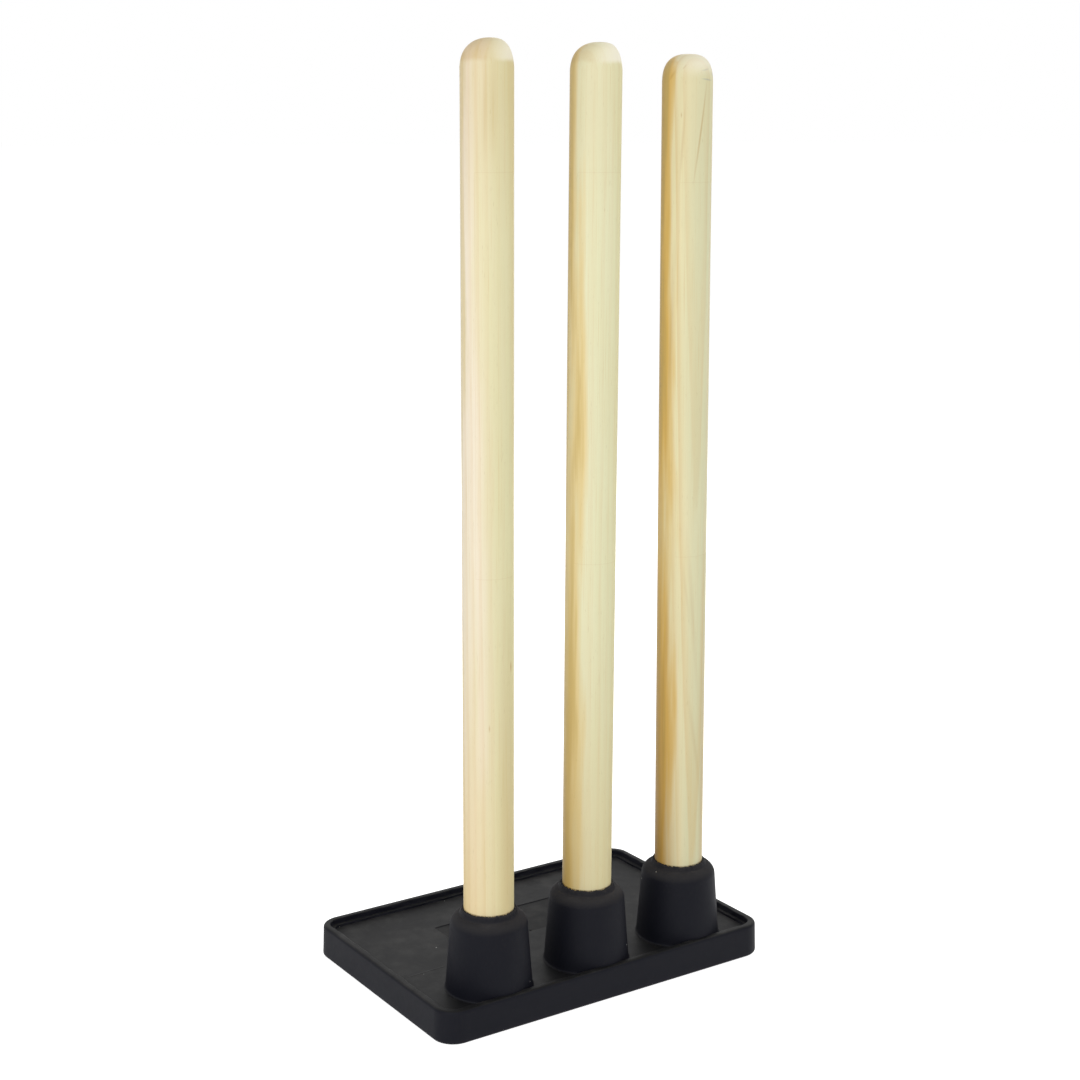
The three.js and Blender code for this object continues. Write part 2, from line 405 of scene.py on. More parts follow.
def makeRowTree():
    tree, given = newTree("cup_row", {
        "Geometry": "Geometry", "Count": "Int", "Pitch": "Float", "Row Y": "Float", "Unevenness": "Float",
        "Unevenness Size": "Float", "Seed": "Float", "Material": "Material"})
    gaps = addNode(tree, "ShaderNodeMath", "SUBTRACT", {0: given["Count"], 1: 1})
    span = addNode(tree, "ShaderNodeMath", "MULTIPLY", {0: gaps, 1: given["Pitch"]})
    firstX = addNode(tree, "ShaderNodeMath", "MULTIPLY", {0: span, 1: -0.5})
    first = addNode(tree, "ShaderNodeCombineXYZ", links={"X": firstX, "Y": given["Row Y"]})
    stride = addNode(tree, "ShaderNodeCombineXYZ", links={"X": given["Pitch"]})
    row = addNode(tree, "GeometryNodeMeshLine", links={
        "Count": given["Count"], "Start Location": first, "Offset": stride})
    cups = addNode(tree, "GeometryNodeInstanceOnPoints", links={"Points": row, "Instance": given["Geometry"]})
    real = addNode(tree, "GeometryNodeRealizeInstances", links={"Geometry": cups})

    # Slow waves in the walls, never the same on two cups
    spot = addNode(tree, "GeometryNodeInputPosition")
    perWave = addNode(tree, "ShaderNodeMath", "DIVIDE", {0: 1, 1: given["Unevenness Size"]})
    wave = addNode(tree, "ShaderNodeTexNoise", {"noise_dimensions": "4D"}, {
        "Vector": spot, "W": given["Seed"], "Scale": perWave})
    centred = addNode(tree, "ShaderNodeMath", "SUBTRACT", {0: wave, 1: 0.5})
    amount = addNode(tree, "ShaderNodeMath", "MULTIPLY", {0: centred, 1: given["Unevenness"]})
    outward = addNode(tree, "GeometryNodeInputNormal")
    push = addNode(tree, "ShaderNodeVectorMath", "SCALE", {0: outward, "Scale": amount})
    uneven = addNode(tree, "GeometryNodeSetPosition", links={"Geometry": real, "Offset": push})
    dressed = addNode(tree, "GeometryNodeSetMaterial", links={
        "Geometry": uneven, "Material": given["Material"]})
    addNode(tree, "NodeGroupOutput", links={"Geometry": dressed})
    return tree


def makeCups(material):
    cups = newObject("cups", turnedMesh("cup", cupSection(), cup["turnSteps"]))
    runTree(cups, makeRowTree(), {
        "Count": len(stumpNodes), "Pitch": cup["pitch"] * mm, "Row Y": rowY * mm, "Seed": plate["seed"],
        "Unevenness": cup["unevenness"] * mm, "Unevenness Size": cup["unevennessSize"] * mm,
        "Material": material})
    trimLip(cups.data)
    return cups


def trimLip(mesh):
    # The lips were trimmed by hand: fine notches all round, and none is quite as high as the next
    low, high = (mouthHeight - depth for depth in cup["lipDepth"])
    for vertex in mesh.vertices:
        x, y, z = vertex.co / mm
        number = min(max(round(x / cup["pitch"]), -1), 1)     # of the cup, from the middle one
        fromAxis = math.hypot(x - number * cup["pitch"], y - rowY)
        inward = 1 - smoothStep(*cup["lipReach"], fromAxis)
        notch = noise.fractal(Vector((x, y, 0)) / cup["lipNotchSize"], *cup["lipFractal"])
        rise = cup["lipLifts"][number + 1] + cup["lipNotch"] * notch
        vertex.co.z += rise * inward * smoothStep(low, high, z) * mm


def stumpAxis(node):
    # Middle of the foot, direction and length of a packed stump, from its own corners
    corners = np.array([v.co for v in frame["nodes"][node].data.vertices])
    joint = next(j for j in frame["joints"] if j["child"] == node.removesuffix("_stump"))
    along = Vector(joint["axis"]).normalized()
    heights = corners @ np.array(along)
    ring = corners[heights < heights.min() + socket["footBand"] * mm]
    foot = Vector(ring.min(axis=0) + ring.max(axis=0)) / 2
    return foot, along, heights.max() - heights.min()


def standing(foot, along):
    # Places a piece that was made upright on the origin
    return Matrix.Translation(foot) @ Vector((0, 0, 1)).rotation_difference(along).to_matrix().to_4x4()


def makeSocketCut(node):
    # What the socket takes out of a cup, in line with its stump
    foot, along, _ = stumpAxis(node)
    mouth = (mouthHeight * mm - foot.z) / along.z / mm
    depth = foot.z / mm - socket["floor"]
    neck = mouth - socket["mouthDepth"]
    section = [(0, -depth), (socket["radius"], -depth), (socket["radius"], neck - socket["mouthSlope"]),
               (socket["mouthRadius"], neck), (socket["mouthRadius"], mouth + socket["above"]),
               (0, mouth + socket["above"])]
    mesh = turnedMesh("socket", section, socket["turnSteps"])
    mesh.transform(standing(foot, along))
    return newObject("socket", mesh)


def combined(first, others, operation):
    for other in others:
        modifier = first.modifiers.new(operation.lower(), "BOOLEAN")
        modifier.operation = operation
        modifier.solver = "MANIFOLD"
        modifier.object = other
    first.data = bakedMesh(first, first.name)
    for other in others:
        bpy.data.objects.remove(other)
    return first


def shadeByAngle(mesh, degrees):
    # Smooth faces, with sharp edges only where two faces meet at more than the angle
    work = bmesh.new()
    work.from_mesh(mesh)
    bmesh.ops.remove_doubles(work, verts=work.verts, dist=weld)
    for edge in work.edges:
        edge.smooth = len(edge.link_faces) == 2 and edge.calc_face_angle(0) < math.radians(degrees)
    for polygon in work.faces:
        polygon.smooth = True
    work.to_mesh(mesh)
    work.free()


# Rubber: black natural rubber compound, compression moulded. The mould leaves a close matt grain,
# a soft sheen on the upright walls, and the flat deck has picked up pale dust.

# In the table below, body is the tone of the steep faces: darker and bluer than the deck, as painted shade on
# the upright walls.
rubber = {
    # shoulder is a lighter grey for the cups' upward-sloping shoulders: painted light from above
    "deck": "#121213", "panel": "#111112", "body": "#0b0c14", "shoulder": "#2a292b",
    "dust": "#8d8b88", "speck": "#d8d6d0",
    "wallRoughness": 0.62, "deckRoughness": 0.48, "panelRoughness": 0.59, "shoulderRoughness": 0.85,
    "roughnessDrift": 0.05, "specularLevel": 0.14,
    "reliefDepth": 0.07, "reliefStrength": 0.5,
    "speckSpacing": 11, "speckReach": 0.035, "speckPick": 0.72,
    # Each pattern's size, detail, roughness and distortion. The real grain is 0.2 mm, and this one is drawn
    # coarser, so that it shows in the render.
    "mottle": (24, 5, 0.6, 0), "flow": (9, 3, 0.5, 1.2), "grain": (0.7, 2, 0.5, 0),
    # Each share's start, end and most, read from how far up a face looks, from the mottle, and from the
    # height over the panel and over the rim
    "lying": (0.55, 0.98, 1), "steep": (0.98, 0.55, 1), "sloping": (0.1, 0.75, 1),
    "dusty": (0.42, 0.75, 0.06), "sunken": (0.4, 0.1, 1), "raised": (0, 20, 1),
}


def makeRubber():
    material, tree = newMaterial("moulded_black_rubber")
    place = addNode(tree, "ShaderNodeTexCoord").outputs["Object"]
    normal = addNode(tree, "ShaderNodeNewGeometry").outputs["Normal"]
    facing = addNode(tree, "ShaderNodeSeparateXYZ", links={"Vector": normal}).outputs["Z"]
    height = addNode(tree, "ShaderNodeSeparateXYZ", links={"Vector": place}).outputs["Z"]
    pattern = {}
    for name in ("mottle", "flow", "grain"):
        size, detail, roughness, distortion = rubber[name]
        pattern[name] = addNode(tree, "ShaderNodeTexNoise", links={
            "Vector": place, "Scale": 1 / (size * mm), "Detail": detail, "Roughness": roughness,
            "Distortion": distortion})

    share = {}
    for name, source, start, unit in (
            ("lying", facing, 0, 1), ("steep", facing, 0, 1), ("sloping", facing, 0, 1),
            ("dusty", pattern["mottle"], 0, 1), ("sunken", height, deckHeight - panel["depth"], mm),
            ("raised", height, plate["rimHeight"], mm)):
        low, high, most = rubber[name]
        share[name] = addNode(tree, "ShaderNodeMapRange", smooth, {
            "Value": source, "From Min": (start + low) * unit, "From Max": (start + high) * unit,
            "To Max": most})
    inPanel = addNode(tree, "ShaderNodeMath", "MULTIPLY", {0: share["lying"], 1: share["sunken"]})
    # The cups' upward-sloping shoulders take a lighter grey: painted light, where they face the light from
    # above
    litShoulder = addNode(tree, "ShaderNodeMath", "MULTIPLY", {0: share["sloping"], 1: share["raised"]})

    # A few pale specks of grit, each in a cell of its own
    cell = addNode(tree, "ShaderNodeTexVoronoi", links={
        "Vector": place, "Scale": 1 / (rubber["speckSpacing"] * mm)})
    nearSpeck = addNode(tree, "ShaderNodeMath", "LESS_THAN", {0: cell, 1: rubber["speckReach"]})
    cellPick = addNode(tree, "ShaderNodeSeparateColor", links={"Color": cell.outputs["Color"]})
    picked = addNode(tree, "ShaderNodeMath", "GREATER_THAN", {0: cellPick, 1: rubber["speckPick"]})

    # From the deck's tone to the panel's, the walls' darker, bluer tone, which is painted shade, the
    # shoulders' lighter grey, which is painted light, a thin cloudy dust film and the grit
    colour = layered(tree, linear(rubber["deck"]), (
        (rubber["panel"], inPanel), (rubber["body"], share["steep"]), (rubber["shoulder"], litShoulder),
        (rubber["dust"], share["dusty"], share["lying"]), (rubber["speck"], nearSpeck, picked)))
    roughness = rubber["wallRoughness"]
    for name, cover in (("deck", share["lying"]), ("panel", inPanel), ("shoulder", litShoulder)):
        roughness = addNode(tree, "ShaderNodeMix", links={
            "Factor": cover, "A": roughness, "B": rubber[name + "Roughness"]})
    drift = addNode(tree, "ShaderNodeMapRange", links={
        "Value": pattern["flow"], "To Min": -rubber["roughnessDrift"], "To Max": rubber["roughnessDrift"]})
    uneven = addNode(tree, "ShaderNodeMath", "ADD", {0: roughness, 1: drift})
    finishSurface(tree, colour, uneven, pattern["grain"], rubber)
    return material


rubberMaterial = makeRubber()
print("rubber made")


def makeBase():
    base = combined(makeTray(), [makeDeck()], "UNION")
    base = combined(base, [makeCups(rubberMaterial)], "UNION")
    base = combined(base, [makeSocketCut(node) for node in stumpNodes], "DIFFERENCE")
    shadeByAngle(base.data, plate["sharpDegrees"])
    base.name = base.data.name = "moulded_base"
    base.data.materials.clear()
    base.data.materials.append(rubberMaterial)
    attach(base, "base")
    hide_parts("rubber_base")
    return base


base = makeBase()
print("base made:", len(base.data.polygons), "faces")


# Timber: a pale, plain hardwood such as ramin, turned on a lathe, sanded along its length and sprayed with
# a thin satin lacquer. It shows fine straight fibres, short dark pores, faint growth lines and a soft sheen.

timber = {
    "growthLine": "#d0a65a", "fibre": "#d6b978", "pore": "#b39a63", "markAndShade": "#b4843a", "scuff": "#8f99a3",
    "litEndGrain": "#f8f3e4", "burnishedAndShaded": "#c4a066", "lipShade": "#5f4326",
    "leastRoughness": 0.38, "fibreRoughness": 0.12, "filmRoughness": 0.34, "specularLevel": 0.16,
    "reliefDepth": 0.03, "reliefStrength": 0.35,
    # Noise drawn out along the stump: width, length, detail, roughness, and the way that the seed moves it.
    # Real fibres are finer, and these are as coarse as they need to be to show.
    "drawnOut": {"tone": (15, 240, 3, 0.5, (0, 1, 0)), "drift": (15, 150, 2, 0.5, (1, 2, 0)),
                 "fibre": (0.7, 70, 3, 0.6, (1, 0, 0)), "pore": (0.5, 6, 1, 0.5, (0, 0, 1))},
    # Each share's start, end and most
    "toneShare": (0.5, 1.5, 1), "lateWood": (0.3, 0.9, 1), "lineEnd": (1, 0.88, 1),
    "fibreShare": (0.5, 0.8, 0.36), "poreShare": (0.66, 0.82, 0.28),
    # Each with its least before its most, which for the low tint is a value of the stump
    "lowSide": (0.05, 0.5, 1.2), "lipShadeBreak": (0.3, 0.6, 0.12, 0.8),
    "warmAt": 0.06, "lowShare": 0.75, "topReach": (150, 30),
    "ringSpacing": 6.2, "pithDistance": 62, "pithTwist": 0.7, "ringWander": 2.4,
    "sandedWobble": 5, "markDepth": 4,
    "lipShadeTop": (1.1, 0.2), "lipShadeFoot": (-7, -1.1),        # a ring of painted shade where the lip meets the stump
    "filmEdge": 0.45, "filmArcDegrees": 118, "filmLine": 0.1,
}

# Each stump is cut from its own plank, so its tones and growth lines differ. Its tones run from edge at its
# left flank over warm and middle to cool at its right one. On the left stump the pale warm tone is a painted
# highlight; on the other two the darker edge and warm tones are painted shade, where the left stump stands in
# the way of the lamp at the left. The low tint is painted shade that darkens the shaft towards its foot: it
# fades out at lowReach and has lowRight of its strength on the right. The top tint is painted shade towards
# the top, and covers topShare. Angles run round the stump from its front, which faces the camera, with the
# right side positive. The two tints of the crown are pale end grain, with a painted highlight, on its right
# and burnished wood, with painted shade, on its left: where each starts and ends from left (0) to right (1),
# and its most. Both start at sandedUp over the crown's foot, blurred by sandedSoft. A crown of fullness 2 is
# round, and a higher one is squarer. A mark is a short brown fleck in the grain, and a scuff a grey one: its
# angle, height, width, length, lean and strength. The last mark of the left and of the right stump, broad and
# low on its right flank, is painted shade.
stumpLook = {
    "left_stump": {
        "seed": 3.1, "edge": "#dfd1aa", "warm": "#ece0ca", "middle": "#e4dab7", "cool": "#e1dbaf",
        "middleShare": 0.45, "low": "#dfc68a", "lowReach": 330, "lowRight": 0.45,
        "top": "#c4ab74", "topShare": 0.24,
        "sandedAndLit": (0.5, 0.95, 0.6), "rubbedAndShaded": (0.7, 0.3, 0.36), "sandedUp": 3.6, "sandedSoft": 2,
        "pithDegrees": 75, "pithLean": 0.35, "growthShare": 0.22,
        "crownFullness": 2.5, "crownBreak": 0.08, "apexShift": 2.2,
        "filmFrom": -26, "filmLow": 328.5, "filmHigh": 612,
        "marksAndShade": ((62, 262, 1.1, 5, 0, 0.8), (4, 218, 0.8, 3.5, 0, 0.45), (-2, 655, 2.4, 46, 1, 0.18),
                  # the last mark, broad and low on the right flank, is painted shade
                  (14, 655, 3.6, 44, 0, 0.16), (50, 120, 14, 230, 0, 0.25)),
        "scuffs": (),
    },
    "middle_stump": {
        "seed": 11.7, "edge": "#d4ba79", "warm": "#e6d29c", "middle": "#e8e5c3", "cool": "#e3e0b7",
        "middleShare": 0.24, "low": "#bf9f58", "lowReach": 330, "lowRight": 0.5,
        "top": "#d3c192", "topShare": 0.2,
        "sandedAndLit": (0.3, 0.95, 0.72), "rubbedAndShaded": (0.62, 0.2, 0.24), "sandedUp": 5, "sandedSoft": 2,
        "pithDegrees": 150, "pithLean": 0.2, "growthShare": 0.14,
        "crownFullness": 2.7, "crownBreak": 0.1, "apexShift": 2.3,
        "filmFrom": -41, "filmLow": 328, "filmHigh": 611,
        "marksAndShade": ((-30, 460, 0.7, 14, 0, 0.25), (22, 240, 0.6, 8, 0, 0.16)),
        "scuffs": (),
    },
    "right_stump": {
        "seed": 23.9, "edge": "#c8a961", "warm": "#deb968", "middle": "#e8dfb7", "cool": "#dad8b2",
        "middleShare": 0.27, "low": "#a57c38", "lowReach": 400, "lowRight": 0.12,
        "top": "#cdb988", "topShare": 0.16,
        "sandedAndLit": (0, 0.8, 0.5), "rubbedAndShaded": (0.4, 0.1, 0.1), "sandedUp": 7, "sandedSoft": 6,
        "pithDegrees": 215, "pithLean": 1.2, "growthShare": 0.3,
        "crownFullness": 2.75, "crownBreak": 0.06, "apexShift": 0.6,
        "filmFrom": -20, "filmLow": 323, "filmHigh": 603,
        "marksAndShade": ((29, 640, 1.1, 46, 8.3, 0.5), (-14, 630, 1.4, 36, 4, 0.24), (-11, 685, 0.8, 3, 40, 0.4),
                  (-41, 679, 1.6, 5, 35, 0.35), (-17, 651, 0.7, 2.5, 0, 0.45), (8, 292, 1.6, 28, -7, 0.13),
                  (23, 278, 2.6, 75, -4.7, 0.16), (34, 172, 2.6, 60, -9, 0.15), (-44, 240, 3, 80, 3, 0.26),
                  # the last mark, long and low on the right flank, is painted shade
                  (-38, 480, 2.6, 110, 2, 0.24), (66, 150, 6, 200, 0, 0.45)),
        "scuffs": ((47, 676, 7.5, 0.8, 6, 0.5), (45, 683, 6, 0.7, -10, 0.35), (76, 680, 1.8, 2.2, 20, 0.7)),
    },
}
stump = {
    "footRadius": 18.9, "crownRadius": 18.6, "crownHeight": 19, "footChamfer": 1.5,
    "bodySteps": 60, "crownSteps": 26, "turnSteps": 144, "sharpDegrees": 30,
    "footCrowding": 1.5, "apexPower": 3, "poleWeld": 0.01, "frontDegrees": 236.1,
}


def bearing(degrees):
    # Direction from a stump's axis at an angle from its front
    turn = math.radians(stump["frontDegrees"] + degrees)
    return Vector((math.cos(turn), math.sin(turn), 0))


def growthRings(tree, look, upright, drift):
    # How far through its ring each place lies and a pick for each ring, round a pith outside the stump
    lean = math.radians(look["pithLean"])
    fromPith = addNode(tree, "ShaderNodeMapping", links={
        "Vector": upright, "Location": bearing(look["pithDegrees"]) * timber["pithDistance"] * mm,
        "Rotation": (lean, lean * timber["pithTwist"], 0)})
    wander = addNode(tree, "ShaderNodeVectorMath", "SCALE", {
        0: drift.outputs["Color"], "Scale": timber["ringWander"] * mm})
    bent = addNode(tree, "ShaderNodeVectorMath", "ADD", {0: fromPith, 1: wander})
    flat = addNode(tree, "ShaderNodeVectorMath", "MULTIPLY", {0: bent, 1: (1, 1, 0)})
    reach = addNode(tree, "ShaderNodeVectorMath", "LENGTH", {0: flat})
    ringCount = addNode(tree, "ShaderNodeMath", "DIVIDE", {0: reach, 1: timber["ringSpacing"] * mm})
    ringNumber = addNode(tree, "ShaderNodeMath", "FLOOR", {0: ringCount})
    ring = addNode(tree, "ShaderNodeMath", "FRACT", {0: ringCount})
    return ring, addNode(tree, "ShaderNodeTexWhiteNoise", {"noise_dimensions": "1D"}, {"W": ringNumber})


def insideFilm(tree, look, upright, height):
    # How far inside the edge of the clear film each place lies. The film wraps part of the shaft.
    radius = stump["footRadius"] * mm
    halfArc = math.radians(timber["filmArcDegrees"] / 2)
    middle = math.radians(stump["frontDegrees"] + look["filmFrom"]) + halfArc
    split = addNode(tree, "ShaderNodeVectorRotate", {"rotation_type": "Z_AXIS"}, {
        "Vector": upright, "Angle": -middle})
    spot = addNode(tree, "ShaderNodeSeparateXYZ", links={"Vector": split}).outputs
    angle = addNode(tree, "ShaderNodeMath", "ARCTAN2", {0: spot["Y"], 1: spot["X"]})
    turned = addNode(tree, "ShaderNodeMath", "ABSOLUTE", {0: angle})
    around = addNode(tree, "ShaderNodeMath", "MULTIPLY", {0: turned, 1: radius})
    fromSides = addNode(tree, "ShaderNodeMath", "SUBTRACT", {0: halfArc * radius, 1: around})
    fromLow = addNode(tree, "ShaderNodeMath", "SUBTRACT", {0: height, 1: look["filmLow"] * mm})
    fromHigh = addNode(tree, "ShaderNodeMath", "SUBTRACT", {0: look["filmHigh"] * mm, 1: height})
    endways = addNode(tree, "ShaderNodeMath", "MINIMUM", {0: fromLow, 1: fromHigh})
    return addNode(tree, "ShaderNodeMath", "MINIMUM", {0: fromSides, 1: endways})


def markAndShadeLayers(tree, look, upright):
    # Marks and scuffs, some marks painted shade: each is a long thin patch that follows the surface
    radius = stump["footRadius"] * mm
    layers = []
    patches = [(timber["markAndShade"], *markAndShade) for markAndShade in look["marksAndShade"]]
    patches += [(timber["scuff"], *scuff) for scuff in look["scuffs"]]
    for tint, degrees, high, wide, tall, leaning, strength in patches:
        across = math.radians(stump["frontDegrees"] + degrees + 90)
        patch = addNode(tree, "ShaderNodeMapping", {"vector_type": "TEXTURE"}, {
            "Vector": upright, "Location": bearing(degrees) * radius + Vector((0, 0, high * mm)),
            "Rotation": (0, math.radians(leaning), across),
            "Scale": (wide * mm, timber["markDepth"] * mm, tall * mm)})
        fade = addNode(tree, "ShaderNodeTexGradient", {"gradient_type": "SPHERICAL"}, {"Vector": patch})
        layers.append((tint, fade.outputs["Fac"], strength))
    return layers


def makeTimber(node, look, foot, along, length):
    material, tree = newMaterial("lacquered_ramin_" + node.removesuffix("_stump"))
    place = addNode(tree, "ShaderNodeTexCoord").outputs["Object"]
    radius = stump["footRadius"] * mm

    # The stump's own upright frame, with its foot on the origin
    turn = standing(foot, along).inverted()
    upright = addNode(tree, "ShaderNodeMapping", links={
        "Vector": place, "Location": turn.to_translation(), "Rotation": turn.to_euler()})
    height = addNode(tree, "ShaderNodeSeparateXYZ", links={"Vector": upright}).outputs["Z"]
    drawnOut = {}
    for name, (wide, tall, detail, roughness, way) in timber["drawnOut"].items():
        drawn = addNode(tree, "ShaderNodeMapping", links={
            "Vector": upright, "Location": Vector(way) * look["seed"], "Scale": (1, 1, wide / tall)})
        drawnOut[name] = addNode(tree, "ShaderNodeTexNoise", links={
            "Vector": drawn, "Scale": 1 / (wide * mm), "Detail": detail, "Roughness": roughness})
    fibre = drawnOut["fibre"]

    # Broad tones: a warm side, a cooler side and slow drifts between them. The side tones are partly painted:
    # a highlight on the left stump's left flank, and shade on the left flanks of the other two.
    side = addNode(tree, "ShaderNodeVectorMath", "DOT_PRODUCT", {0: upright, 1: bearing(90)})
    sideShare = addNode(tree, "ShaderNodeMapRange", links={
        "Value": side, "From Min": -radius, "From Max": radius})
    toneSum = addNode(tree, "ShaderNodeMath", "ADD", {0: drawnOut["tone"], 1: sideShare})
    ring, ringPick = growthRings(tree, look, upright, drawnOut["drift"])

    # The crown was sanded again after the lacquer: bare, pale end grain on its right side, with a painted
    # highlight there, and burnished wood on its left, with painted shade
    wobble = timber["sandedWobble"] * mm
    crownFoot = length + (look["sandedUp"] - stump["crownHeight"]) * mm - wobble / 2
    unevenFoot = addNode(tree, "ShaderNodeMath", "MULTIPLY_ADD", {
        0: drawnOut["tone"], 1: wobble, 2: crownFoot})
    aboveFoot = addNode(tree, "ShaderNodeMath", "SUBTRACT", {0: height, 1: unevenFoot})
    soft = look["sandedSoft"] * mm

    # Where the rubber lip ends on this stump
    lip = (mouthHeight * mm - foot.z) / along.z + cup["lipLifts"][stumpNodes.index(node)] * mm
    fromLip = addNode(tree, "ShaderNodeMath", "SUBTRACT", {0: height, 1: lip})
    lipTop, lipFoot = ([end * mm for end in timber[k]] for k in ("lipShadeTop", "lipShadeFoot"))

    # The film is smoother than the lacquer, with a hairline at its edge
    inside = insideFilm(tree, look, upright, height)
    fromEdge = addNode(tree, "ShaderNodeMath", "ABSOLUTE", {0: inside})
    filmEdge = timber["filmEdge"] * mm

    # Shares that rise smoothly from start to end, and then those that do so evenly, from a least value
    share = {}
    for name, source, start, end, most in (
            ("tone", toneSum, *timber["toneShare"]),
            # The low tint is painted shade, darker towards the foot and stronger on the left flank
            ("low", height, look["lowReach"] * mm, 0, timber["lowShare"]),
            # The top tint is painted shade, darker towards the top
            ("top", height, *(length - depth * mm for depth in timber["topReach"]), look["topShare"]),
            ("lateWood", ring, *timber["lateWood"]), ("lineEnd", ring, *timber["lineEnd"]),
            ("fibre", fibre, *timber["fibreShare"]), ("pore", drawnOut["pore"], *timber["poreShare"]),
            ("crown", aboveFoot, -soft, soft, 1),
            ("sandedAndLit", sideShare, *look["sandedAndLit"]), ("rubbedAndShaded", sideShare, *look["rubbedAndShaded"]),
            ("lipShadeTop", fromLip, *lipTop, 1), ("lipShadeFoot", fromLip, *lipFoot, 1)):
        share[name] = addNode(tree, "ShaderNodeMapRange", smooth, {
            "Value": source, "From Min": start, "From Max": end, "To Max": most})
    for name, source, start, end, least, most in (
            ("lowSide", sideShare, *timber["lowSide"], look["lowRight"]),
            ("lipShadeBreak", fibre, *timber["lipShadeBreak"]), ("film", inside, 0, filmEdge, 0, 1),
            ("filmLine", fromEdge, filmEdge, 0, 0, timber["filmLine"])):
        share[name] = addNode(tree, "ShaderNodeMapRange", links={
            "Value": source, "From Min": start, "From Max": end, "To Min": least, "To Max": most})

    ramp = addNode(tree, "ShaderNodeValToRGB", links={"Fac": share["tone"]})
    ramp.color_ramp.elements[0].color = linear(look["edge"])
    ramp.color_ramp.elements[1].color = linear(look["cool"])
    ramp.color_ramp.elements.new(timber["warmAt"]).color = linear(look["warm"])
    ramp.color_ramp.elements.new(look["middleShare"]).color = linear(look["middle"])
    layers = [
        (look["low"], share["low"], share["lowSide"]), (look["top"], share["top"]),
        (timber["growthLine"], share["lateWood"], share["lineEnd"], ringPick, look["growthShare"]),
        (timber["fibre"], share["fibre"]), (timber["pore"], share["pore"]),
        # The crown: pale end grain with a painted highlight on its right, burnished wood with painted shade
        # on its left
        (timber["litEndGrain"], share["crown"], share["sandedAndLit"]),
        (timber["burnishedAndShaded"], share["crown"], share["rubbedAndShaded"]),
        *markAndShadeLayers(tree, look, upright),
        # A dark ring along the lip's edge: painted shade where the rubber meets the stump
        (timber["lipShade"], share["lipShadeTop"], share["lipShadeFoot"], share["lipShadeBreak"]),
        (timber["markAndShade"], share["filmLine"]),
    ]

    surface = addNode(tree, "ShaderNodeMath", "MULTIPLY_ADD", {
        0: fibre, 1: timber["fibreRoughness"], 2: timber["leastRoughness"]})
    roughness = addNode(tree, "ShaderNodeMix", links={
        "Factor": share["film"], "A": surface, "B": timber["filmRoughness"]})
    finishSurface(tree, layered(tree, ramp, layers), roughness, fibre, timber)
    return material


